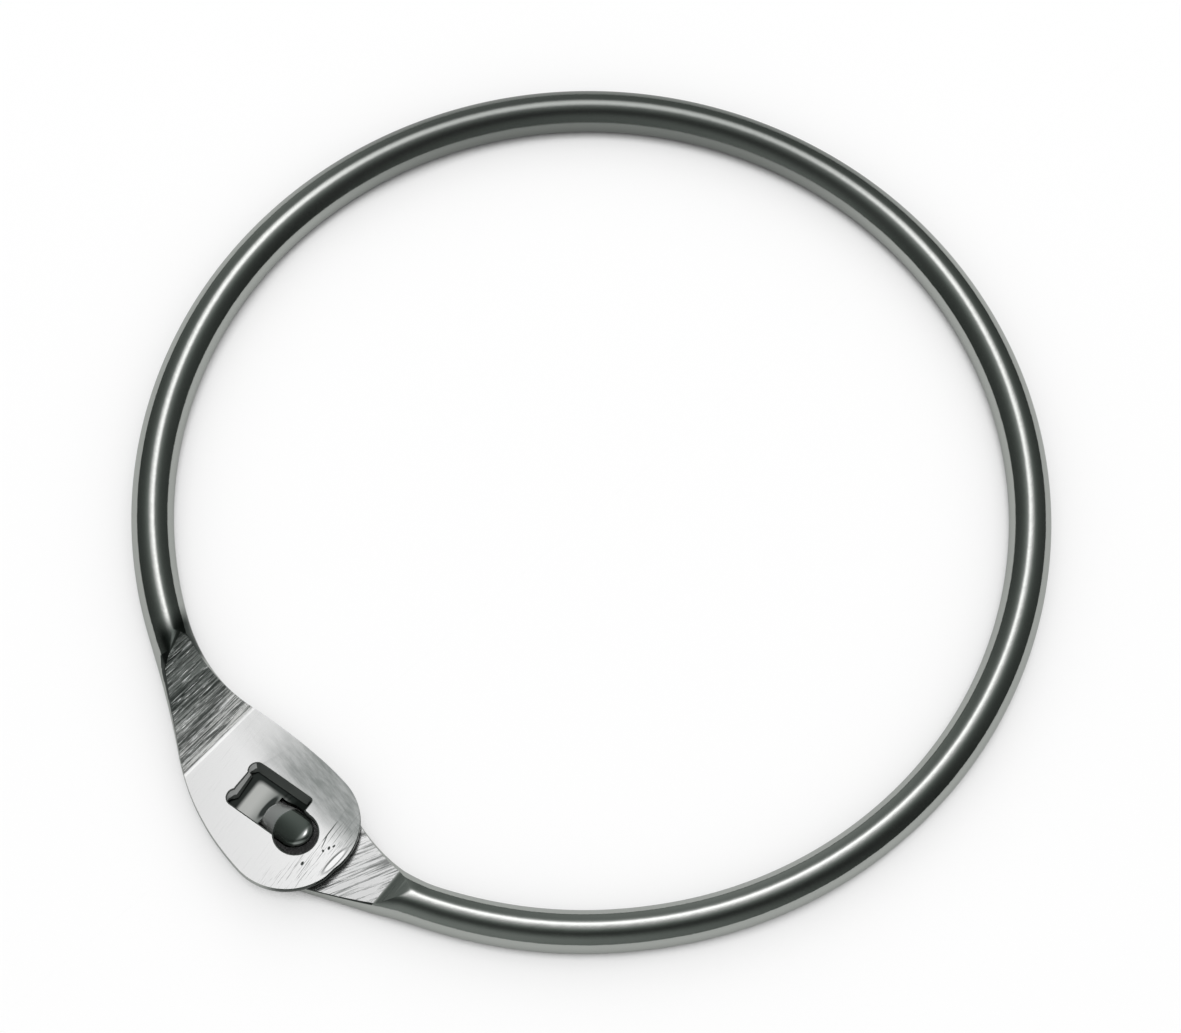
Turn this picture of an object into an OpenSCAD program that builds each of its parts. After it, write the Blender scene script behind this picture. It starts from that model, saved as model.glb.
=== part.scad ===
// Interlocking key ring: one length of round spring wire bent to a ring. Both ends are forged flat
// into paddles that overlap. The upper paddle has a slot, and a hook pressed up out of the lower
// paddle stands in it. Lengths are in millimetres. The ring lies on z = 0, centred on the origin.

/* [Ring] */
// Outside diameter of the ring
ring_od = 76; // [72:1:90]
// Diameter of the round wire
wire_d = 3.5; // [3.5:0.05:3.7]
// Direction of the clasp, in degrees anticlockwise from +X
clasp_angle = 225.4; // [0:0.1:360]

/* [Clasp] */
// Thickness of both paddles
paddle_t = 0.9; // [0.8:0.05:0.95]
// Clear gap between them
paddle_gap = 0.15; // [0.1:0.05:0.2]
// Slope of the plane in which they meet, in degrees
meeting_slope = 4.2; // [3:0.1:4.5]
// Length over which each paddle is straight, from the middle of the clasp back
straight_l = 1; // [0.5:0.1:1.5]

/* [Slotted end] */
// How far its paddle reaches past the middle of the clasp
slotted_reach = 9.3; // [9:0.1:9.5]
// Width of its paddle
slotted_w = 11.2; // [11:0.1:11.4]
// Radius of the paddle's corner inside the ring
inner_corner_r = 5; // [4:0.1:5.1]
// Radius of the paddle's corner outside the ring
outer_corner_r = 5.3; // [4:0.1:5.4]
// Slant of the paddle's end, in degrees
tip_slant = 5; // [0:1:8]
// How far this end is set outwards from the ring's circle
slotted_set = 0.32; // [0:0.02:0.4]

/* [Hooked end] */
// How far its paddle reaches past the middle of the clasp
hooked_reach = 4.2; // [3:0.1:4.5]
// Width of its paddle
hooked_w = 8.2; // [7.6:0.1:8.6]
// How far this end is set outwards from the ring's circle
hooked_set = 0.36; // [0:0.02:0.4]
// How far the wire swells further out beside the paddle
hooked_bulge = 0.18; // [0:0.02:0.2]

/* [Forged faces] */
// Distance from the middle of the clasp to where each outer face leaves the round wire
face_start = 14.4; // [14:0.1:14.8]
// Distance to the line where that face meets the paddle
face_line = 5.2; // [5:0.1:6]
// How hollow that face is, 0 for flat
face_hollow = 0.3; // [0:0.05:0.5]
// Distance to where the rounded step of each inner face leaves the round wire
step_start = 15; // [14.8:0.1:15.4]
// Distance to the line where the step ends
step_line = 13.3; // [13:0.1:13.8]
// Height of that step
step_h = 0.8; // [0.6:0.05:0.9]
// Distance to the line where the inner face reaches the plane in which the paddles meet
meeting_line = 9.6; // [9.5:0.1:10]

/* [Slot] */
// Distance of the slot's round lobe from the middle of the ring
lobe_out = 36.82; // [36.78:0.02:36.86]
// Distance of the lobe past the middle of the clasp
lobe_along = 5.12; // [5.1:0.02:5.16]
// Radius of the lobe
lobe_r = 1.85; // [1.83:0.01:1.95]
// Turn of the slot towards the inside of the ring, in degrees
slot_turn = 10.5; // [9:0.5:12]
// Length of the slot's wide mouth
mouth_l = 6.17; // [5.5:0.01:6.3]
// Width of the mouth
mouth_w = 4.47; // [4.3:0.01:4.6]
// Radius of the two rounded corners at the mouth's end
mouth_corner_r = 0.68; // [0.4:0.02:0.9]

/* [Hook] */
// Distance of the hook's head from the middle of the ring
head_out = 36.66; // [36.64:0.02:36.7]
// Distance of the head past the middle of the clasp
head_along = 4.45; // [4.4:0.05:4.55]
// Radius of the round head
head_r = 1.44; // [1.3:0.01:1.46]
// Width of the neck
neck_w = 2.4; // [2:0.05:2.5]
// Height at which the hook's top rounds over
hook_top = 3.42; // [3.3:0.02:3.5]
// Thickness of the pressed metal
hook_t = 0.75; // [0.6:0.05:0.8]
// Clear gap round the hook in the lower paddle
hook_gap = 0.3; // [0.2:0.05:0.35]

/* [Hidden] */

wire_r = wire_d / 2;
ring_r = ring_od / 2 - wire_r; // radius of the wire's centreline
rise = tan(meeting_slope);
cut_past = 0.5; // how far a cutter runs past what it cuts
$fn = 96;

// The forged end starts this far inside the round wire and this much under its surface, so that
// the two join cleanly.
sunk = 0.1;
skin = 0.01;
forged_r = wire_r - skin;
steepest = 84; // degrees round the wire at which the flat faces start

// The plan of each end. Distances are measured from the middle of the clasp, back along the wire.
REACH = 0; // past the middle
WIDTH = 1;
IN_R = 2; // corner radii
OUT_R = 3;
TIP_SLANT = 4;
FLARE = 5; // where the forging starts to widen
POWER = 6; // how sharply it widens
KNEE = 7; // where it widens fastest
KNEE_W = 8; // its width there
FULL = 9; // where it has its full width
SET_OUT = 10;
SET_FROM = 11; // where the wire starts to leave the ring's circle
SET_L = 12; // length over which it does so
BULGE = 13;
WIRE = 14; // where the plain round wire takes over
LINES = 15; // direction of the lines across its faces, in degrees from the clasp's radius
slotted = [
    slotted_reach, slotted_w, inner_corner_r, outer_corner_r, tip_slant,
    16.5, 2.33, 6, 7.4, -4, slotted_set, 7, 8, 0, 17, 4
];
hooked = [
    hooked_reach, hooked_w, 3.4, 3.4, 0,
    16.4, 1.74, 7.5, 7.43, 5.9, hooked_set, 37, 21.7, hooked_bulge, 37.5, -12
];
bulge_at = 13.5; // where the wire swells outwards most
bulge_l = 5.3;

// Places on an end are given by v, the distance back along the wire from the middle of the clasp,
// in a frame with x outward along the clasp's radius. An end comes from -y and points to +y.
bend_angle = asin(straight_l / ring_r);
function heading(v) = -bend_angle - max(0, v - straight_l) / ring_r * 180 / PI;
function outward(v) = [cos(heading(v)), sin(heading(v))];
function onward(v) = [-sin(heading(v)), cos(heading(v))];
function ease(x) = x < 0 ? 0 : x > 1 ? 1 : x * x * (3 - 2 * x);
function out_of_round(e, v) = e[SET_OUT] * ease((e[SET_FROM] - v) / e[SET_L])
    + e[BULGE] * exp(-pow((v - bulge_at) / bulge_l, 2));
function centre(e, v) = (ring_r + out_of_round(e, v)) * outward(v)
    + max(0, straight_l - v) * onward(v);

// Half the width of the forging: a flare from the round wire, then a rounding off to the full
// width.
function half_width(e, v) = v > e[KNEE]
    ? wire_r + (e[KNEE_W] - wire_d) / 2
        * pow(max(0, e[FLARE] - v) / (e[FLARE] - e[KNEE]), e[POWER])
    : e[WIDTH] / 2 - (e[WIDTH] - e[KNEE_W]) / 2
        * pow(max(0, v - e[FULL]) / (e[KNEE] - e[FULL]), 2);

// Heights of an end's two faces, for the end that lies on top: its inner face below and its outer
// face above. Along a face's lines the height above the paddle's plane is the same, so line_v is
// the place of the line and v is the place itself.
function inner_plane(v) = wire_r + paddle_gap / 2 - rise * v;
function outer_plane(v) = inner_plane(v) + paddle_t;
function face_x(line_v) = (face_start - line_v) / (face_start - face_line);
function outer_z(line_v, v) = line_v > face_start
    ? wire_d
    : line_v > face_line
        ? min(wire_d, outer_plane(v) + (wire_d - outer_plane(face_start))
            * (1 - face_x(line_v)) * (1 - face_hollow * face_x(line_v)))
        : outer_plane(v);
function inner_z(line_v, v) = line_v > step_start
    ? 0
    : line_v > step_line
        ? step_h * (1 - cos(90 * (step_start - line_v) / (step_start - step_line)))
        : line_v > meeting_line
            ? inner_plane(v) - (inner_plane(step_line) - step_h)
                * (line_v - meeting_line) / (step_line - meeting_line)
            : inner_plane(v);

// One rounded edge of a section, from its low face to its high face: an arc of the wire's own
// radius, level with the middle of the edge. edge is its outermost point and facing its direction.
round_steps = 16;
function edge_angle(half_h) = asin(min(sin(steepest), half_h / forged_r));
function side(edge, facing, low, high) =
    let (a = edge_angle((high - low) / 2))
    [
        for (k = [-1:2 / round_steps:1])
            let (p = edge - facing * (wire_r - forged_r * cos(a * k)))
            [p[0], p[1], (low + high) / 2 + forged_r * sin(a * k)]
    ];
function reverse(list) = [for (k = [len(list) - 1:-1:0]) list[k]];

// A section across an end. Its inner edge is at in_v, its outer edge at out_v, and the face line
// through both is at line_v.
function section(e, in_v, out_v, line_v) = concat(
    side(
        centre(e, in_v) - half_width(e, in_v) * outward(in_v), -outward(in_v),
        inner_z(line_v, in_v), outer_z(line_v, in_v)
    ),
    reverse(side(
        centre(e, out_v) + half_width(e, out_v) * outward(out_v), outward(out_v),
        inner_z(line_v, out_v), outer_z(line_v, out_v)
    ))
);
slant_l = 3; // length over which the lines swing round from square to the wire
function slant(e, v) = ease((e[FLARE] - v) / slant_l) * tan(e[LINES] - heading(v))
    * half_width(e, v);

// The rounded corners of a paddle. Their centres are set so that both arcs touch its slanted end.
function corner_v(e, r, s) = -e[REACH] + (r - s * (e[WIDTH] / 2 - r) * sin(e[TIP_SLANT]))
    / cos(e[TIP_SLANT]);
function corner_edge(e, r, s, turn) =
    let (facing = sin(turn) * onward(0) + s * cos(turn) * outward(0))
    let (v = corner_v(e, r, s))
    side(
        centre(e, v) + s * (e[WIDTH] / 2 - r) * outward(0) + r * facing, facing,
        inner_plane(v - r * sin(turn)), outer_plane(v - r * sin(turn))
    );
function corner_section(e, f) = concat(
    corner_edge(e, e[IN_R], -1, f * (90 + e[TIP_SLANT])),
    reverse(corner_edge(e, e[OUT_R], 1, f * (90 - e[TIP_SLANT])))
);

// All sections of an end, from the round wire to the paddle's tip, with one on every line where a
// face changes slope.
function spread(from, to, steps) = [for (k = [1:steps]) from + (to - from) * k / steps];
paddle_steps = 10;
corner_steps = 9;
function sections(e) =
    let (paddle_v = min(face_line, e[KNEE]))
    let (in_v = paddle_v + slant(e, paddle_v), out_v = paddle_v - slant(e, paddle_v))
    concat(
        [for (v = concat(
            [e[WIRE] + sunk],
            spread(e[WIRE] + sunk, step_start, ceil(e[WIRE] - step_start)),
            spread(step_start, step_line, 6),
            spread(step_line, meeting_line, 7),
            spread(meeting_line, paddle_v, 8)
        )) section(e, v + slant(e, v), v - slant(e, v), v)],
        [for (k = [1:paddle_steps]) section(
            e,
            in_v + (corner_v(e, e[IN_R], -1) - in_v) * k / paddle_steps,
            out_v + (corner_v(e, e[OUT_R], 1) - out_v) * k / paddle_steps,
            0
        )],
        [for (k = [1:corner_steps]) corner_section(e, k / corner_steps)]
    );

// Skin over the sections. The first is closed flat, and the last is closed by joining its two
// rounded edges into the paddle's end.
module forged_end(e) {
    rings = sections(e);
    n = len(rings[0]);
    last = (len(rings) - 1) * n;
    start_face = [[for (k = [0:n - 1]) k]];
    skin_faces = [
        for (i = [0:len(rings) - 2], k = [0:n - 1])
            let (a = i * n + k, b = i * n + (k + 1) % n)
            each [[a, b + n, b], [a, a + n, b + n]]
    ];
    end_faces = [
        for (k = [0:round_steps - 1])
            let (a = last + k, b = last + n - 1 - k)
            each [[a, b - 1, a + 1], [a, b, b - 1]]
    ];
    polyhedron(
        points = [for (ring = rings) each ring],
        faces = concat(start_face, skin_faces, end_faces)
    );
}

// The round wire, from one forged end round to the other.
module round_wire() {
    from = -heading(hooked[WIRE]);
    to = 360 + heading(slotted[WIRE]);
    rotate([0, 0, from])
        rotate_extrude(angle = to - from, $fn = 120)
            translate([ring_r, wire_r])
                circle(r = wire_r, $fn = 48);
}

// The slot's outline, with the lobe's centre at the origin and the paddle's tip towards +X.
module slot_outline() {
    mouth_right = -0.63;
    mouth_low = -1.25;
    waist = 0.2; // how far the mouth's end stands in between its rounded corners
    left = mouth_right - mouth_l;
    circle(r = lobe_r);
    translate([2 * mouth_right, mouth_low])
        square([-2 * mouth_right, lobe_r - mouth_low]);
    translate([left + mouth_corner_r, mouth_low])
        square([mouth_l - mouth_corner_r, mouth_w]);
    translate([left + waist, mouth_low + mouth_corner_r])
        square([mouth_l - waist, mouth_w - 2 * mouth_corner_r]);
    for (y = [mouth_corner_r, mouth_w - mouth_corner_r])
        translate([left + mouth_corner_r, mouth_low + y])
            circle(r = mouth_corner_r);
}

// The end that lies on top, with its slot.
module slotted_end() {
    difference() {
        forged_end(slotted);
        translate([lobe_out, lobe_along, wire_r - cut_past])
            rotate([0, 0, 90 + slot_turn])
                linear_extrude(wire_r + 2 * cut_past)
                    slot_outline();
    }
}

// The hook's outline, with the head's centre at the origin and its root towards -X. extra widens
// it into the opening that the hook was pressed from.
module hook_outline(extra, root) {
    shoulder = 1.35; // distance from the head's centre to where the neck has widened to the head
    neck_end = 2.3;
    polygon([
        [-root, -neck_w / 2 - extra],
        [-neck_end, -neck_w / 2 - extra],
        [-shoulder, -head_r - extra],
        [0, -head_r - extra],
        [0, head_r + extra],
        [-shoulder, head_r + extra],
        [-neck_end, neck_w / 2 + extra],
        [-root, neck_w / 2 + extra]
    ]);
    circle(r = head_r + extra);
}

// Places a child on the hook's head.
module at_head(z) {
    hook_turn = 6; // degrees
    translate([head_out, head_along, z])
        rotate([0, 0, 90 + hook_turn])
            children();
}

// Height of the hook's top along its length: a steep ramp, a slope that goes on rising, and the
// rounded front. s is the distance from the head's centre towards the front. The lowest of the
// three is the top, and they run smoothly into each other.
ramp_from = -2.42;
ramp_z = 1.86;
ramp_rise = 0.9;
slope_from = -1.52;
slope_z = 2.68;
slope_rise = 0.32;
front_from = 0.13;
front_fall = 0.45;
bend_sharpness = 12;
function weight(height) = exp(-bend_sharpness * height);
function hook_z(s) = -ln(
    weight(ramp_z + ramp_rise * (s - ramp_from))
    + weight(slope_z + slope_rise * (s - slope_from))
    + weight(hook_top - front_fall * pow(max(0, s - front_from), 2))
) / bend_sharpness;

// The pressed hook: a strip of the paddle's metal, bent up along that line.
module hook() {
    root = 2.65; // where its underside is level with the paddle's
    front = head_r + 0.06; // just past the round head
    length_steps = 32;
    along = [for (k = [0:length_steps]) -root + (root + front) * k / length_steps];
    intersection() {
        at_head(0)
            linear_extrude(wire_d)
                hook_outline(0, root);
        at_head(0)
            rotate([90, 0, 0])
                linear_extrude(wire_d, center = true)
                    polygon(concat(
                        [for (s = along) [s, hook_z(s)]],
                        [for (s = reverse(along)) [s, hook_z(s) - hook_t]]
                    ));
    }
}

// The end that lies beneath: a forging turned over, with the hook pressed up out of it.
module hooked_end() {
    opening_root = 2.35;
    difference() {
        translate([0, 0, wire_d])
            rotate([180, 0, 0])
                forged_end(hooked);
        at_head(-cut_past)
            linear_extrude(wire_d)
                hook_outline(hook_gap, opening_root);
    }
    hook();
}

module key_ring() {
    color("silver")
        rotate([0, 0, clasp_angle])
            union() {
                round_wire();
                slotted_end();
                hooked_end();
            }
}

key_ring();
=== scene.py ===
"""Interlocking key ring: one length of bright steel wire, with its ends forged flat, slotted and hooked."""

from math import asin, ceil, cos, exp, log, pi, radians, sin, tan

import bmesh
import bpy
from mathutils import Matrix, Vector


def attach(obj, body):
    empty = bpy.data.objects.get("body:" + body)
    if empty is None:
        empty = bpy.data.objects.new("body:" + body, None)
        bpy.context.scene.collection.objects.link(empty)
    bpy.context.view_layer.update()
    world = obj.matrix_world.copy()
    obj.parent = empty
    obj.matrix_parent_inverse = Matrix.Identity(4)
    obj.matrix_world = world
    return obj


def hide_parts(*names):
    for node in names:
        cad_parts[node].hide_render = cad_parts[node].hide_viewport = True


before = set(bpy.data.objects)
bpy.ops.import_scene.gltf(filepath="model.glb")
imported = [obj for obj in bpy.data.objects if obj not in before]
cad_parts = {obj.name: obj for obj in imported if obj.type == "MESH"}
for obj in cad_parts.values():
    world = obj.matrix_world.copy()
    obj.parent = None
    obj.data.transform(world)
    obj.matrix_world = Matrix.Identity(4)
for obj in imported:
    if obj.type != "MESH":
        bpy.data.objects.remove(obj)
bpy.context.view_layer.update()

# --- Floor, light and camera -------------------------------------------------------------------
# A white table under a dark room, with one soft window of light above and behind the ring.


def linear(hex_colour):
    """A hex sRGB colour as linear red, green, blue and alpha."""
    rgb = [int(hex_colour[k : k + 2], 16) / 255 for k in (1, 3, 5)]
    return [c / 12.92 if c <= 0.04045 else ((c + 0.055) / 1.055) ** 2.4 for c in rgb] + [1]


def add_node(tree, kind, inputs=None, **settings):
    """Adds a node. inputs maps a socket's name or number to a value or to another node's output."""
    node = tree.nodes.new(kind)
    for name, value in settings.items():
        setattr(node, name, value)
    for socket, value in (inputs or {}).items():
        if isinstance(value, bpy.types.NodeSocket):
            tree.links.new(value, node.inputs[socket])
        else:
            node.inputs[socket].default_value = value
    return node


bpy.ops.mesh.primitive_plane_add(size=3)
floor = bpy.context.object
floor.name = "table"
white = bpy.data.materials.new("white table")
white.use_nodes = True
tree = white.node_tree
path = add_node(tree, "ShaderNodeLightPath")
# In polished metal the table is painted a little greyer than it is, as shade in its reflection.
tones = {0: path.outputs["Is Glossy Ray"], 6: linear("#f6f6f6"), 7: linear("#bcbebc")}
seen = add_node(tree, "ShaderNodeMix", tones, data_type="RGBA")
bsdf = tree.nodes["Principled BSDF"]
# Within 4 mm of walls on nearly all sides, as below the hook, painted shade makes the table almost black.
enclosed = add_node(tree, "ShaderNodeAmbientOcclusion", {"Distance": 0.004}, samples=8)
open_share = {0: enclosed.outputs["AO"], 1: 0.3, 2: 0.52, 3: 0.03, 4: 1.0}
depth = add_node(tree, "ShaderNodeMapRange", open_share)
deep = add_node(tree, "ShaderNodeVectorMath", {0: seen.outputs[2], 3: depth.outputs[0]}, operation="SCALE")
tree.links.new(deep.outputs[0], bsdf.inputs["Base Color"])
bsdf.inputs["Roughness"].default_value = 0.9
bsdf.inputs["Specular IOR Level"].default_value = 0.2
# To the camera the table is partly its own plain white, so that the shadow on it stays faint.
glow = add_node(tree, "ShaderNodeEmission", {"Color": (1, 1, 1, 1), "Strength": depth.outputs[0]})
own_white = 0.55  # how much of it that is
terms = {0: path.outputs["Is Camera Ray"], 1: own_white}
share = add_node(tree, "ShaderNodeMath", terms, operation="MULTIPLY")
ends = {0: share.outputs[0], 1: bsdf.outputs[0], 2: glow.outputs[0]}
mixed = add_node(tree, "ShaderNodeMixShader", ends)
tree.links.new(mixed.outputs[0], tree.nodes["Material Output"].inputs[0])
floor.data.materials.append(white)

scene = bpy.context.scene
scene.view_settings.view_transform = "Standard"
world = bpy.data.worlds.new("room")
scene.world = world
world.use_nodes = True
tree = world.node_tree
tree.nodes.clear()
way = add_node(tree, "ShaderNodeTexCoord")
# What polished metal mirrors, as soft lobes of light: strength, middle (east, north), spread. Each
# falls off from its middle as e to the minus square of the distance, in spreads.
FALL, DIMMEST, FAINTEST = 0.367879, 0.045, 0.012
lobes = (
    (1.45, (-0.016, 0.444), (0.16, 0.16)),
    (0.25, (-0.02, 0.35), (0.34, 0.3)),
    (0.16, (-0.03, 0.18), (0.5, 0.39)),
    (0.20, (-0.7, -0.9), (1.43, 0.3)),
    (0.20, (-0.5, 1.05), (0.8, 0.35)),
    (-0.04, (0.25, -0.5), (0.9, 0.5)),
)
total = None
for strength, middle, spread in lobes:
    terms = {0: way.outputs["Generated"], 1: (*middle, 0)}
    off = add_node(tree, "ShaderNodeVectorMath", terms, operation="SUBTRACT")
    terms = {0: off.outputs[0], 1: (1 / spread[0], 1 / spread[1], 0)}
    near = add_node(tree, "ShaderNodeVectorMath", terms, operation="MULTIPLY")
    terms = {0: near.outputs[0], 1: near.outputs[0]}
    far = add_node(tree, "ShaderNodeVectorMath", terms, operation="DOT_PRODUCT")
    fall = add_node(tree, "ShaderNodeMath", {0: FALL, 1: far.outputs["Value"]}, operation="POWER")
    terms = {0: fall.outputs[0], 1: strength, 2: total.outputs[0] if total else DIMMEST}
    total = add_node(tree, "ShaderNodeMath", terms, operation="MULTIPLY_ADD")
level = add_node(tree, "ShaderNodeMath", {0: total.outputs[0], 1: FAINTEST}, operation="MAXIMUM")
# The dark parts of the room are faintly green.
tint = add_node(tree, "ShaderNodeMapRange", {0: level.outputs[0], 1: 0.0, 2: 0.5})
tones = {0: tint.outputs[0], 6: (0.86, 1, 0.91, 1), 7: (1, 1, 1, 1)}
colour = add_node(tree, "ShaderNodeMix", tones, data_type="RGBA")
room = add_node(tree, "ShaderNodeBackground", {"Color": colour.outputs[2], "Strength": level.outputs[0]})
# Everything else is lit from overhead, fading out towards the horizon.
height = add_node(tree, "ShaderNodeSeparateXYZ", {0: way.outputs["Generated"]}).outputs[2]
dusk = add_node(tree, "ShaderNodeMapRange", {0: height, 1: 0.12, 2: 0.42, 3: 0.0, 4: 1.12})
path = add_node(tree, "ShaderNodeLightPath")
terms = {0: dusk.outputs[0], 1: path.outputs["Is Camera Ray"]}
shown = add_node(tree, "ShaderNodeMath", terms, operation="MAXIMUM")
sky = add_node(tree, "ShaderNodeBackground", {"Color": (1, 1, 1, 1), "Strength": shown.outputs[0]})
ends = {0: path.outputs["Is Glossy Ray"], 1: sky.outputs[0], 2: room.outputs[0]}
both = add_node(tree, "ShaderNodeMixShader", ends)
add_node(tree, "ShaderNodeOutputWorld", {0: both.outputs[0]})

bpy.ops.object.light_add(type="AREA", location=(0, 0.5, 0.3), rotation=(-radians(59), 0, 0))
window = bpy.context.object
window.name = "window"
window.data.shape = "RECTANGLE"
window.data.size = 0.4
window.data.size_y = 0.4
window.data.energy = 0.35
window.visible_glossy = False

camera = bpy.data.objects.new("camera", bpy.data.cameras.new("camera"))
scene.collection.objects.link(camera)
camera.data.sensor_width = 36
camera.data.lens = 134.15
camera.data.clip_start = 0.01
down = radians(69.04)
look = Vector((0, cos(down), -sin(down)))
right = Vector((1, 0, 0))
up = right.cross(look)
roll = radians(2.65)
right, up = right * cos(roll) + up * sin(roll), up * cos(roll) - right * sin(roll)
turn = Matrix((right, up, -look)).transposed().to_4x4()
aim, distance = Vector((-0.00009, -0.00088, 0.00174)), 0.3635
camera.matrix_world = Matrix.Translation(aim - distance * look) @ turn
scene.camera = camera

# --- The ring ----------------------------------------------------------------------------------
# One length of 3.5 mm spring steel wire, drawn round, bent to a ring of 76 mm and plated with
# bright nickel. Its ends are forged flat, ground to a slope on their outer faces and trimmed to
# rounded paddles. Lengths are in millimetres, in a frame with x outward along the clasp's radius.

WIRE = 1.75  # radius of the wire
RING = 36.25  # radius of the ring, to the middle of the wire
TOP = 3.5
PADDLE = 0.9  # thickness
MEETING, SLOPE = 1.825, tan(radians(4.2))  # the plane the paddles meet in: its height and slope
CLASP = 225.4  # where the clasp is, in degrees anticlockwise from +X
# Along an end, from the wire to its tip. Each line is where one face of the metal ends.
FACE_START, FACE_LINE, FACE_HOLLOW = 14.4, 5.2, 0.3
STEP_START, STEP_LINE, STEP_H, MEETING_LINE = 15.0, 13.3, 0.8, 9.6
BENEATH_LINE = 7.5
SECTION_GAP = 0.3  # the widest gap between two sections of an end
BAND_WIDENS, BAND_GROWTH = 6, 0.8  # where the dark band starts to widen, and its strips per mm
ARC = 32  # points over each rounded edge


def ease(x):
    x = min(1, max(0, x))
    return x * x * (3 - 2 * x)


def heading(v):
    return -asin(1 / RING) - max(0, v - 1) / RING


def outward(v):
    return Vector((cos(heading(v)), sin(heading(v))))


def onward(v):
    return Vector((-sin(heading(v)), cos(heading(v))))


class End:
    """The plan of one end: v is the distance back along the wire from the middle of the clasp."""

    def __init__(self, **sizes):
        self.__dict__.update(sizes)

    def centre(self, v):
        swell = self.bulge * exp(-(((v - 13.5) / 5.3) ** 2))
        out = self.set_out * ease((self.set_from - v) / self.set_l) + swell
        return (RING + out) * outward(v) + max(0, 1 - v) * onward(v)

    def half_width(self, v):
        if v > self.knee:
            flared = max(0, self.flare - v) / (self.flare - self.knee)
            return WIRE + (self.knee_w / 2 - WIRE) * flared**self.power
        narrowed = max(0, v - self.full) / (self.knee - self.full)
        return self.width / 2 - (self.width - self.knee_w) / 2 * narrowed**2

    def lean(self, v):
        """How far a line across the end runs ahead on its inner side."""
        return ease((self.flare - v) / 3) * tan(radians(self.lines) - heading(v)) * self.half_width(v)

    def corner_v(self, r, s):
        a = radians(self.slant)
        return -self.reach + (r - s * (self.width / 2 - r) * sin(a)) / cos(a)


# Each end widens from the flare to the knee and on to its full width, is set outward over a length,
# and has a rounded tip with a slant. Its first section is at wire, and the lines across it are
# turned by the degrees in lines.
slotted = End(
    reach=9.3, width=11.2, inner_r=5.0, outer_r=5.3, slant=5, flare=16.5, power=2.33, knee=6,
    knee_w=7.4, full=-4, set_out=0.32, set_from=7, set_l=8, bulge=0, wire=17, lines=4,
)
hooked = End(
    reach=4.2, width=8.2, inner_r=3.4, outer_r=3.4, slant=0, flare=16.4, power=1.74, knee=7.5,
    knee_w=7.43, full=5.9, set_out=0.36, set_from=37, set_l=21.7, bulge=0.18, wire=37.5, lines=-12,
)


def low_face(v):
    return MEETING - SLOPE * v


def inner_z(line_v, v):
    if line_v > STEP_START:
        return 0
    if line_v > STEP_LINE:
        return STEP_H * (1 - cos(pi / 2 * (STEP_START - line_v) / (STEP_START - STEP_LINE)))
    if line_v > MEETING_LINE:
        fall = low_face(STEP_LINE) - STEP_H
        return low_face(v) - fall * (line_v - MEETING_LINE) / (STEP_LINE - MEETING_LINE)
    return low_face(v)


def outer_z(line_v, v):
    if line_v > FACE_START:
        return TOP
    if line_v > FACE_LINE:
        x = (FACE_START - line_v) / (FACE_START - FACE_LINE)
        rise = (TOP - low_face(FACE_START) - PADDLE) * (1 - x) * (1 - FACE_HOLLOW * x)
        return min(TOP, low_face(v) + PADDLE + rise)
    return low_face(v) + PADDLE


def side(edge, facing, low, high):
    """The rounded edge of a section, from its low face to its high face."""
    a = asin(min(sin(radians(84)), (high - low) / 2 / WIRE))
    points = []
    for k in range(ARC + 1):
        t = a * (2 * k / ARC - 1)
        p = edge - facing * WIRE * (1 - cos(t))
        points.append(Vector((p.x, p.y, (low + high) / 2 + WIRE * sin(t))))
    return points


def section(end, in_v, out_v, line_v):
    """The section of an end whose inner edge is at in_v and outer edge at out_v."""
    halves = []
    for v, s in ((in_v, -1), (out_v, 1)):
        facing = s * outward(v)
        edge = end.centre(v) + end.half_width(v) * facing
        halves.append(side(edge, facing, inner_z(line_v, v), outer_z(line_v, v)))
    return halves[0] + halves[1][::-1]


def corner(end, r, s, turn):
    """Half of a section in one of the two rounded corners of the tip."""
    facing = sin(turn) * onward(0) + s * cos(turn) * outward(0)
    v = end.corner_v(r, s)
    edge = end.centre(v) + s * (end.width / 2 - r) * outward(0) + r * facing
    z = low_face(v - r * sin(turn))
    return side(edge, facing, z, z + PADDLE)


def end_sections(end):
    """Sections from the round wire to the paddle's tip, each with the place of its line."""
    paddle_v = min(FACE_LINE, end.knee)
    stops = [end.wire, FACE_START + 0.6, FACE_START, STEP_LINE, MEETING_LINE, FACE_LINE, paddle_v]
    stops = sorted(set(v for v in stops if v >= paddle_v), reverse=True)
    lines = [stops[0]]
    for a, b in zip(stops, stops[1:]):
        n = max(2, ceil((a - b) / SECTION_GAP))
        lines += [a + (b - a) * k / n for k in range(1, n + 1)]
    result = [(v, section(end, v + end.lean(v), v - end.lean(v), v)) for v in lines]
    in_v, out_v = paddle_v + end.lean(paddle_v), paddle_v - end.lean(paddle_v)
    in_end, out_end = end.corner_v(end.inner_r, -1), end.corner_v(end.outer_r, 1)
    straight, round_tip = 30, 24
    for k in range(1, straight + 1):
        in_k = in_v + (in_end - in_v) * k / straight
        out_k = out_v + (out_end - out_v) * k / straight
        result.append((0, section(end, in_k, out_k, 0)))
    for k in range(1, round_tip + 1):
        inner = corner(end, end.inner_r, -1, k / round_tip * radians(90 + end.slant))
        outer = corner(end, end.outer_r, 1, k / round_tip * radians(90 - end.slant))
        result.append((0, inner + outer[::-1]))
    return result


def turned_over(points):
    half = len(points) // 2
    flipped = [Vector((p.x, -p.y, TOP - p.z)) for p in points]
    return flipped[:half][::-1] + flipped[half:][::-1]


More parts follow.
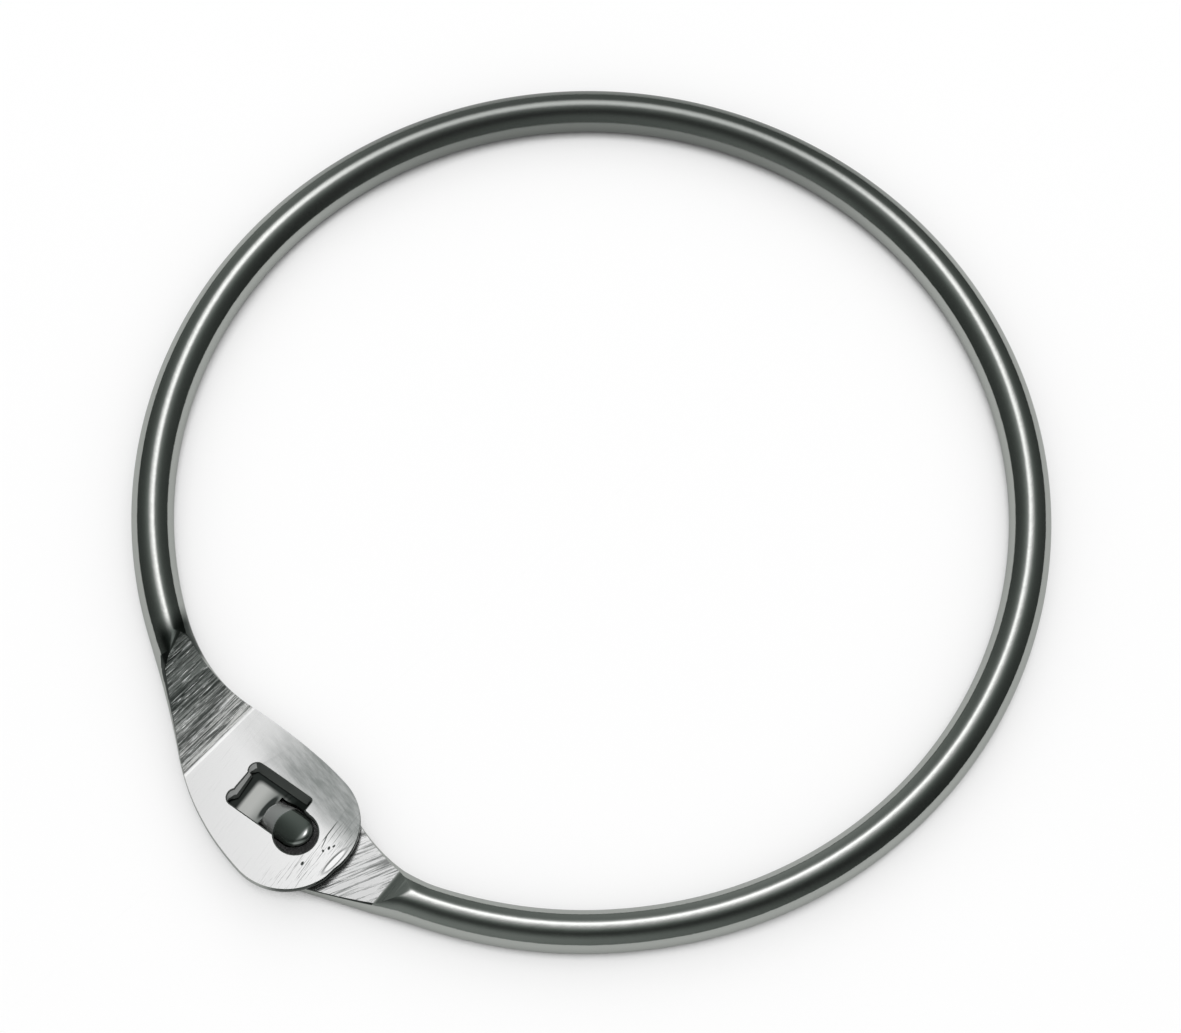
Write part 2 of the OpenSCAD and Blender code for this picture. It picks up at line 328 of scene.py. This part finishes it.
NICKEL, FLAT, GROUND, STEP, BENEATH, PUNCHED, PRESSED, EDGE, WALL = range(9)
rings = []  # (material above, strips of the outer side that are dark, points)
for v, points in reversed(end_sections(slotted)):
    above = FLAT if v <= FACE_LINE else GROUND if v < FACE_START else NICKEL
    # The band of painted shade beside the ground slope widens as the end thickens towards the wire.
    dark = 1 + int(max(0, v - BAND_WIDENS) * BAND_GROWTH) if FACE_LINE < v < FACE_START else 0
    rings.append((above, dark, points))
first, last = heading(slotted.wire), -heading(hooked.wire) - 2 * pi
round_wire = 320
for k in range(1, round_wire):
    a = first + (last - first) * k / round_wire
    out = Vector((cos(a), sin(a)))
    inner, outer = side((RING - WIRE) * out, -out, 0, TOP), side((RING + WIRE) * out, out, 0, TOP)
    rings.append((NICKEL, 0, inner + outer[::-1]))
for v, points in end_sections(hooked):
    above = BENEATH if v < BENEATH_LINE else STEP if v < STEP_LINE else NICKEL
    dark = 3 if BENEATH_LINE < v < STEP_LINE else 0
    rings.append((above, dark, turned_over(points)))

mesh = bmesh.new()
place = Matrix.Rotation(radians(CLASP), 4, "Z") @ Matrix.Scale(0.001, 4)
loops = [[mesh.verts.new(place @ p) for p in points] for _, _, points in rings]
n = len(loops[0])
half = n // 2
for (above, dark, _), (above_b, _, _), a, b in zip(rings, rings[1:], loops, loops[1:]):
    for k in range(n):
        face = mesh.faces.new((a[k], a[(k + 1) % n], b[(k + 1) % n], b[k]))
        if k == half - 1:
            face.material_index = min(above, above_b)
        elif half <= k < half + dark:
            face.material_index = EDGE
for loop in (loops[0], loops[-1]):
    for k in range(half - 1):
        mesh.faces.new((loop[k], loop[n - 1 - k], loop[n - 2 - k], loop[k + 1]))
bmesh.ops.recalc_face_normals(mesh, faces=mesh.faces)
data = bpy.data.meshes.new("key ring")
mesh.to_mesh(data)
mesh.free()
ring = bpy.data.objects.new("ring", data)
scene.collection.objects.link(ring)


def metal(name, colour, roughness):
    """A bare metal, with its coordinates turned into the clasp's frame, in millimetres."""
    made = bpy.data.materials.new(name)
    made.use_nodes = True
    tree = made.node_tree
    bsdf = tree.nodes["Principled BSDF"]
    bsdf.inputs["Base Color"].default_value = linear(colour)
    bsdf.inputs["Metallic"].default_value = 1
    bsdf.inputs["Roughness"].default_value = roughness
    spot = add_node(tree, "ShaderNodeTexCoord").outputs["Object"]
    turn = {0: spot, "Rotation": (0, 0, -radians(CLASP)), "Scale": (1000, 1000, 1000)}
    turned = add_node(tree, "ShaderNodeMapping", turn)
    ring.data.materials.append(made)
    return tree, bsdf, turned.outputs[0]


def streaks(tree, mm, direction, length, width, seed, low=0.35, high=0.65):
    """Noise drawn out along a direction, from 0 to 1: length and width of a streak in millimetres."""
    turn = (0, 0, -radians(direction))
    along = add_node(tree, "ShaderNodeMapping", {0: mm, "Rotation": turn}).outputs[0]
    shape = {0: along, "Scale": (1 / length, 1 / width, 0.2), "Location": (seed, seed, 0)}
    drawn = add_node(tree, "ShaderNodeMapping", shape).outputs[0]
    grain = {"Vector": drawn, "Scale": 1, "Detail": 3, "Roughness": 0.6}
    noise = add_node(tree, "ShaderNodeTexNoise", grain)
    return add_node(tree, "ShaderNodeMapRange", {0: noise.outputs[0], 1: low, 2: high}).outputs[0]


def between(tree, factor, one, two):
    """One colour at factor 0 and the other at 1; each is a hex colour or a node's output."""
    ends = {k: linear(c) if isinstance(c, str) else c for k, c in ((6, one), (7, two))}
    return add_node(tree, "ShaderNodeMix", {0: factor, **ends}, data_type="RGBA").outputs[2]


def ramp(tree, value, start, end, low=0.0, high=1.0):
    """A value that eases from low at start to high at end."""
    inputs = {0: value, 1: start, 2: end, 3: low, 4: high}
    return add_node(tree, "ShaderNodeMapRange", inputs, interpolation_type="SMOOTHSTEP").outputs[0]


def times(tree, one, two):
    return add_node(tree, "ShaderNodeMath", {0: one, 1: two}, operation="MULTIPLY").outputs[0]


def scratch(tree, mm, x, y, direction, length, width):
    """A single scratch round a place: 1 along its middle line and 0 outside it."""
    parts = {0: turned_about(tree, mm, (x, y), direction), 1: (2 / length, 2 / width, 0)}
    scaled = add_node(tree, "ShaderNodeVectorMath", parts, operation="MULTIPLY").outputs[0]
    far = add_node(tree, "ShaderNodeVectorMath", {0: scaled}, operation="LENGTH").outputs["Value"]
    return ramp(tree, far, 1.0, 0.6)


def less(tree, one, two):
    return add_node(tree, "ShaderNodeMath", {0: one, 1: two}, operation="SUBTRACT").outputs[0]


def turned_about(tree, mm, at, angle):
    """The coordinates of a frame of its own, which has its middle at a place and is turned."""
    moved = add_node(tree, "ShaderNodeVectorMath", {0: mm, 1: (*at, 0)}, operation="SUBTRACT").outputs[0]
    turned = add_node(tree, "ShaderNodeMapping", {0: moved, "Rotation": (0, 0, -radians(angle))})
    return turned.outputs[0]


def roughen(tree, bsdf, height, depth):
    """Relief of a depth in metres."""
    bump = add_node(tree, "ShaderNodeBump", {"Strength": 1.0, "Distance": depth, "Height": height})
    tree.links.new(bump.outputs[0], bsdf.inputs["Normal"])


# Bright nickel plate over drawn wire: nearly a mirror, with shallow dents a millimetre across. It is
# rougher on the far side of the ring, where its colour is painted darker as shade, and painted shade
# darkens the inner side where the slotted end starts and round that end's tip.
tree, bsdf, mm = metal("bright nickel plate", "#cfd1ce", 0.1)
dents = add_node(tree, "ShaderNodeTexNoise", {"Vector": mm, "Scale": 0.9, "Detail": 5, "Roughness": 0.6})
roughen(tree, bsdf, dents.outputs[0], 0.000012)
north = add_node(tree, "ShaderNodeSeparateXYZ", {0: add_node(tree, "ShaderNodeTexCoord").outputs["Object"]})
tree.links.new(ramp(tree, north.outputs[1], 0.018, 0.036, 0.1, 0.19), bsdf.inputs["Roughness"])
# Painted shade: the far side of the ring is darker.
far_shade = ramp(tree, north.outputs[1], 0.022, 0.035)
spot = add_node(tree, "ShaderNodeSeparateXYZ", {0: mm})
along, height = spot.outputs[1], spot.outputs[2]
level = add_node(tree, "ShaderNodeVectorMath", {0: mm, 1: (1, 1, 0)}, operation="MULTIPLY")
radius = add_node(tree, "ShaderNodeVectorMath", {0: level.outputs[0]}, operation="LENGTH").outputs["Value"]
# Painted shade where the slotted end starts and round its tip.
painted_shade = times(tree, ramp(tree, along, -16.4, -14.6), ramp(tree, along, -11.0, -12.0))
painted_shade = times(tree, painted_shade, ramp(tree, radius, 37.5, 36.9))
tip = times(tree, ramp(tree, along, 6.0, 7.6), ramp(tree, height, 2.38, 2.46))
tip = times(tree, tip, ramp(tree, along, 9.7, 9.5))
painted_shade = add_node(tree, "ShaderNodeMath", {0: painted_shade, 1: tip}, operation="MAXIMUM").outputs[0]
painted_shade = times(tree, painted_shade, ramp(tree, spot.outputs[0], 20.0, 25.0))  # only beside the clasp
plate = between(tree, far_shade, "#cfd1ce", "#979a97")
tree.links.new(between(tree, painted_shade, plate, "#4a4f4c"), bsdf.inputs["Base Color"])

# The upper paddle: steel pressed flat against a die, then plated, and finely scratched. It is painted
# greyer towards the inside of the ring, as shade where the reflected window fades.
tree, bsdf, mm = metal("pressed flat", "#f6f6f6", 0.2)
place_mm = add_node(tree, "ShaderNodeSeparateXYZ", {0: mm})
inside = ramp(tree, place_mm.outputs[0], 35.9, 33.2)
onwards = ramp(tree, place_mm.outputs[1], -4.5, 2.0, 0.2, 1.0)
grain = streaks(tree, mm, 86, 1.6, 0.35, 11)
grain = add_node(tree, "ShaderNodeMapRange", {0: grain, 3: 0.78, 4: 1.0}).outputs[0]
grey = times(tree, times(tree, inside, onwards), grain)
tone = between(tree, grey, "#f6f6f6", "#8c908e")
fine = streaks(tree, mm, 12, 2.2, 0.09, 5, 0.56, 0.68)
near_tip = ramp(tree, place_mm.outputs[1], 5.0, 7.5, 0.05, 0.9)
tone = between(tree, times(tree, fine, near_tip), tone, "#767a78")
# A burr painted as a highlight, with a painted shadow round it, four pits and two long scratches: place,
# direction, length, width.
for x, y, turn, length, width, shade in (
    (36.2, 8.72, 5, 3.5, 0.8, "#565a58"),
    (36.2, 8.74, 5, 3.2, 0.52, "#ffffff"),
    (35.8, 7.6, 30, 0.4, 0.25, "#3a3e3c"),
    (36.3, 7.45, 60, 0.3, 0.22, "#3a3e3c"),
    (35.4, 7.75, 0, 0.35, 0.2, "#3a3e3c"),
    (38.2, 7.1, 20, 0.45, 0.28, "#3a3e3c"),
    (34.8, 6.6, 12, 2.6, 0.12, "#5c605e"),
    (35.6, 6.9, 25, 1.8, 0.1, "#5c605e"),
):
    tone = between(tree, scratch(tree, mm, x, y, turn, length, width), tone, shade)
tree.links.new(tone, bsdf.inputs["Base Color"])

# The outer slope of the upper end: steel cut by a coarse wheel, in parallel streaks across it. It
# was plated after grinding, is painted darker towards the round wire as shade, and has two deeper
# scratches.
tree, bsdf, mm = metal("ground slope", "#dededb", 0.22)
place_mm = add_node(tree, "ShaderNodeSeparateXYZ", {0: mm})
cut = streaks(tree, mm, 3, 4, 0.13, 3, 0.42, 0.57)
# Painted shade: darker towards the round wire.
shade = between(tree, ramp(tree, place_mm.outputs[1], -10.5, -5.0), "#9a9e9b", "#ececea")
tone = between(tree, times(tree, cut, 0.9), shade, "#3c423f")
light = streaks(tree, mm, 3, 2.2, 0.11, 23, 0.57, 0.65)
tone = between(tree, times(tree, light, 0.85), tone, "#fbfcfb")
for x, y, length in ((33.45, -7.4, 2.8), (32.6, -13.0, 2.3)):
    tone = between(tree, scratch(tree, mm, x, y, 5, length, 0.2), tone, "#ffffff")
tree.links.new(tone, bsdf.inputs["Base Color"])
roughen(tree, bsdf, cut, 0.000008)

# The upward face of the lower end: ground with the same wheel, at a slant, and left brighter.
tree, bsdf, mm = metal("ground step", "#f0f0ee", 0.2)
cut = streaks(tree, mm, -21, 5, 0.17, 7, 0.5, 0.64)
tone = between(tree, times(tree, cut, 0.75), "#fcfcfc", "#5c605e")
tone = between(tree, scratch(tree, mm, 36.6, 12.9, -20, 2.1, 1.0), tone, "#ffffff")
tree.links.new(tone, bsdf.inputs["Base Color"])
roughen(tree, bsdf, cut, 0.000006)

# The upward face of the lower paddle: forged steel, thinly plated and rubbed by the upper paddle.
# Shade is painted along two of the slot's walls, in the crease of the hook and round the hook's
# front, and the face is painted darker towards the hook.
SLOT_AT, SLOT_TURN = (36.82, 5.12), 100.5
tree, bsdf, mm = metal("rubbed beneath", "#c0bfbb", 0.3)
plan = add_node(tree, "ShaderNodeSeparateXYZ", {0: turned_about(tree, mm, SLOT_AT, SLOT_TURN)})
to_end, to_side = less(tree, -5.72, plan.outputs[0]), less(tree, plan.outputs[1], 2.12)
terms = {0: to_end, 1: to_side, 2: 0.7}
under = add_node(tree, "ShaderNodeMath", terms, operation="SMOOTH_MAX").outputs[0]
# Painted shade: darker towards the hook, along two walls, round the hook's front and in its crease.
tone = between(tree, ramp(tree, plan.outputs[0], -4.9, -3.4), "#d2d3d0", "#8a8e8b")
tone = between(tree, ramp(tree, under, -0.28, 0.14), tone, "#333735")
tone = between(tree, ramp(tree, plan.outputs[0], -2.9, -2.3), tone, "#2c302e")
tone = between(tree, scratch(tree, mm, 36.85, 1.35, 6, 3.0, 0.75), tone, "#3c403e")
tree.links.new(tone, bsdf.inputs["Base Color"])

# The wall at the end of the slot's mouth: steel torn by the punch, matt under a thin plate.
bsdf = metal("punched wall", "#d2d4d2", 0.45)[1]
bsdf.inputs["Metallic"].default_value = 0.45

# The pressed hook: steel bent up by a punch and plated. It is polished by use on top, pale and matt
# on its ramp, where the bend has crazed the plate. Its top is painted darker as shade, and its front
# is painted white as a highlight.
HOOK_AT, HOOK_TURN = (36.66, 4.45), 96
RAMP_END, TOP_START = -1.75, -1.55
tree, bsdf, mm = metal("pressed hook", "#b0b4b1", 0.05)
local = add_node(tree, "ShaderNodeSeparateXYZ", {0: turned_about(tree, mm, HOOK_AT, HOOK_TURN)})
bowed = times(tree, local.outputs[1], local.outputs[1])
terms = {0: bowed, 1: -0.25, 2: local.outputs[0]}
bend = add_node(tree, "ShaderNodeMath", terms, operation="MULTIPLY_ADD").outputs[0]
tone = between(tree, ramp(tree, bend, RAMP_END, TOP_START), "#ffffff", "#acb2ae")
tone = between(tree, ramp(tree, local.outputs[0], 0.65, 0.9), tone, "#ffffff")
tree.links.new(tone, bsdf.inputs["Base Color"])
tree.links.new(ramp(tree, bend, RAMP_END, TOP_START, 0.4, 0.05), bsdf.inputs["Roughness"])

# Every cut edge: steel rounded off in plating, and painted dark as shade along the edges and in the
# band beside the ground slope.
metal("cut edge", "#474b49", 0.2)

# The other walls of the slot: the same torn steel, painted dark as shade inside the slot.
bsdf = metal("slot wall", "#5a5e5b", 0.45)[1]
bsdf.inputs["Metallic"].default_value = 0.45

bpy.ops.object.select_all(action="DESELECT")
ring.select_set(True)
bpy.context.view_layer.objects.active = ring


MOUTH_START, MOUTH_MIDDLE = -0.9, -3  # along the slot, from the middle of its lobe


def cutter(outline, levels, at, angle, name, wall=0):
    """A cutter with a plan outline that runs anticlockwise. Each level is a height above the slope
    in which the paddles meet, how far the outline is set in there all round, and how far the mouth's
    walls lean in on the side towards the inside of the ring and the start of the paddle. At the
    mouth's end, the faces above level number wall are the punched wall."""
    cut = bmesh.new()
    loops = []
    points = [Vector(p) for p in outline]
    for z, rim, lean in levels:
        loop = []
        for a, b, c in zip(points[-1:] + points[:-1], points, points[1:] + points[:1]):
            before, after = (b - a).normalized(), (c - b).normalized()
            way = before + after
            inward, edge = Vector((-way.y, way.x)).normalized(), Vector((-before.y, before.x))
            leaning = min(1, max(0, inward.dot(Vector((1, -1))))) if b.x < MOUTH_START else 0
            spot = b + inward * (rim + lean * leaning) / max(0.5, inward.dot(edge))
            loop.append(cut.verts.new((spot.x, spot.y, z)))
        loops.append(loop)
    cut.faces.new(loops[0][::-1])
    cut.faces.new(loops[-1])
    for low, high in zip(loops, loops[1:]):
        for k in range(len(low)):
            after = (k + 1) % len(low)
            face = cut.faces.new((low[k], low[after], high[after], high[k]))
            across = points[after] - points[k]
            at_end = abs(across.y) > abs(across.x) and across.y < 0 and points[k].x < MOUTH_MIDDLE
            if low is loops[wall] and at_end:
                face.material_index = PUNCHED
            elif name == "slot":
                face.material_index = WALL
    cut.transform(Matrix.Translation((*at, 0)) @ Matrix.Rotation(angle, 4, "Z"))
    for vert in cut.verts:
        vert.co.z += WIRE + SLOPE * vert.co.y
    cut.transform(place)
    return new_object(cut, name)


def new_object(mesh, name):
    bmesh.ops.recalc_face_normals(mesh, faces=mesh.faces)
    data = bpy.data.meshes.new(name)
    mesh.to_mesh(data)
    mesh.free()
    for made in ring.data.materials:
        data.materials.append(made)
    item = bpy.data.objects.new(name, data)
    scene.collection.objects.link(item)
    return item


def arc(centre, r, start, end, steps):
    angles = [radians(start + (end - start) * k / steps) for k in range(steps + 1)]
    return [(centre[0] + r * cos(a), centre[1] + r * sin(a)) for a in angles]


def carve(target, tool, how):
    step = target.modifiers.new(how, "BOOLEAN")
    step.operation = how
    step.solver = "EXACT"
    step.object = tool
    bpy.context.view_layer.objects.active = target
    bpy.ops.object.modifier_apply(modifier=step.name)
    bpy.data.objects.remove(tool)


# The slot: a round lobe that the hook stands in, and a wide mouth that the hook enters by. The
# punch has drawn its rim in to a round, and two of its walls lean inwards below.
lobe_x, lobe_r, lobe_start = -0.33, 1.8, -180 + 38.9
mouth_right, mouth_low, mouth_w, mouth_l, bite, small_r = -0.95, -1.13, 4.16, 5.85, 0.68, 0.25
left, high = mouth_right - mouth_l, mouth_low + mouth_w
outline = arc((lobe_x, 0), lobe_r, lobe_start, 90, 60) + [(mouth_right, lobe_r + 0.1)]
outline += arc((mouth_right - small_r, high - small_r), small_r, 0, 90, 6)
outline += arc((left + bite, high - bite), bite, 90, 225, 16)
outline += arc((left + bite, mouth_low + bite), bite, 135, 270, 16)[:-1]
top, rim = 0.975, 0.12
levels = [(0, 0, 0.48), (0.09, 0, 0.48), (0.38, 0, 0.27), (top - rim, 0, 0)]
for k in range(1, 6):
    a = radians(90 * k / 5)
    levels.append((top - rim * (1 - sin(a)), -rim * (1 - cos(a)), 0))
levels.append((3, -rim, 0))
carve(ring, cutter(outline, levels, SLOT_AT, radians(SLOT_TURN), "slot", wall=2), "DIFFERENCE")

# The hook: a strip of the lower paddle, cut free round its head and pressed up along a bend.
# Places along it are counted from the middle of its head. HOOK_EDGE is how far in its top is
# rounded, HOOK_SIDE the least height of its sides, and CROWN how much its top is bowed.
HEAD_R, NECK, HOOK_T, HOOK_EDGE, HOOK_SIDE, CROWN = 1.5, 1.25, 0.75, 0.5, 0.06, 0.17
SHOULDER, NECK_END, BEND, ROOT = -1.35, -2.3, -2.8, -3.05
gap, front = 0.24, 0.35
wide, narrow = HEAD_R + gap, NECK + gap
hole = arc((front, 0), wide, -90, 90, 48) + [(SHOULDER, wide), (NECK_END, narrow)]
hole += [(BEND, narrow), (BEND, -narrow), (NECK_END, -narrow), (SHOULDER, -wide)]
levels = [(-3, 0, 0), (0, 0, 0)]
carve(ring, cutter(hole, levels, HOOK_AT, radians(HOOK_TURN), "gap"), "DIFFERENCE")

# The upper paddle's flat becomes one face, and every cut edge is a little rounded.
mesh = bmesh.new()
mesh.from_mesh(ring.data)
flats = [f for f in mesh.faces if f.material_index == FLAT and f.normal.z > 0.9]
edges = {e for f in flats for e in f.edges if all(g in flats for g in e.link_faces)}
verts = list({v for e in edges for v in e.verts})
flat_angle = radians(0.4)
bmesh.ops.dissolve_limit(
    mesh, angle_limit=flat_angle, edges=list(edges), verts=verts, delimit={"MATERIAL"}
)
mesh.to_mesh(ring.data)
mesh.free()
edge = ring.modifiers.new("edges", "BEVEL")
edge.width = 0.00013
edge.segments = 3
edge.material = EDGE
edge.limit_method = "ANGLE"
edge.angle_limit = radians(32)
edge.use_clamp_overlap = True
bpy.context.view_layer.objects.active = ring
bpy.ops.object.modifier_apply(modifier=edge.name)


SHARPNESS = 12  # of the bends between them


def hook_z(s):
    """Height of the hook's top: a steep ramp, a slope and a rounded front, run smoothly together."""
    heights = (1.86 + 0.6 * (s + 2.85), 2.68 + 0.32 * (s + 1.52), 3.47)
    return -log(sum(exp(-SHARPNESS * z) for z in heights)) / SHARPNESS


mesh = bmesh.new()
stops = []  # (place along the hook, half its width there)
rows = 44
for k in range(rows + 1):
    s_at = ROOT - ROOT * k / rows
    stops.append((s_at, NECK + (HEAD_R - NECK) * ease((s_at - NECK_END) / (SHOULDER - NECK_END))))
for a in (4, 9, 15, 22, 30, 38, 46, 54, 62, 70, 77, 83, 87):
    stops.append((HEAD_R * sin(radians(a)), HEAD_R * cos(radians(a))))
ACROSS = 32  # faces across the hook
top_rows, low_rows = [], []
for s_at, w in stops:
    top_row, low_row = [], []
    for k in range(ACROSS + 1):
        y = w * sin(radians(90 * (2 * k / ACROSS - 1)))
        inset = w - abs(y) if s_at < 0 else HEAD_R - (s_at**2 + y**2) ** 0.5
        short = max(0, HOOK_EDGE - inset)
        drop = HOOK_EDGE - max(0, HOOK_EDGE**2 - short**2) ** 0.5
        z = hook_z(s_at)
        top = z - CROWN * y * y - drop
        top_row.append(mesh.verts.new((s_at, y, top)))
        low_row.append(mesh.verts.new((s_at, y, min(z - HOOK_T, top - HOOK_SIDE))))
    top_rows.append(top_row)
    low_rows.append(low_row)
for rows, way in ((top_rows, 1), (low_rows, -1)):
    for one, two in zip(rows, rows[1:]):
        for k in range(ACROSS):
            mesh.faces.new((one[k], two[k], two[k + 1], one[k + 1])[::way])
for one, two, low_one, low_two in zip(top_rows, top_rows[1:], low_rows, low_rows[1:]):
    for k in (0, ACROSS):
        mesh.faces.new((one[k], two[k], low_two[k], low_one[k]))
for top_row, low_row in ((top_rows[0], low_rows[0]), (top_rows[-1], low_rows[-1])):
    for k in range(ACROSS):
        mesh.faces.new((top_row[k], top_row[k + 1], low_row[k + 1], low_row[k]))
turn = Matrix.Rotation(radians(HOOK_TURN), 4, "Z")
mesh.transform(place @ Matrix.Translation((*HOOK_AT, 0)) @ turn)
for face in mesh.faces:
    face.material_index = PRESSED
carve(ring, new_object(mesh, "hook"), "UNION")

# The join may leave a sliver open beside a flat face, which is closed again.
mesh = bmesh.new()
mesh.from_mesh(ring.data)
bmesh.ops.holes_fill(mesh, edges=[e for e in mesh.edges if e.is_boundary], sides=4)
mesh.to_mesh(ring.data)
mesh.free()

bpy.ops.object.select_all(action="DESELECT")
ring.select_set(True)
bpy.context.view_layer.objects.active = ring
bpy.ops.object.shade_smooth_by_angle(angle=radians(40))
weigh = ring.modifiers.new("normals", "WEIGHTED_NORMAL")
weigh.keep_sharp = True
weigh.weight = 100
bpy.ops.object.modifier_apply(modifier=weigh.name)

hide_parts("key_ring")
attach(ring, "root")
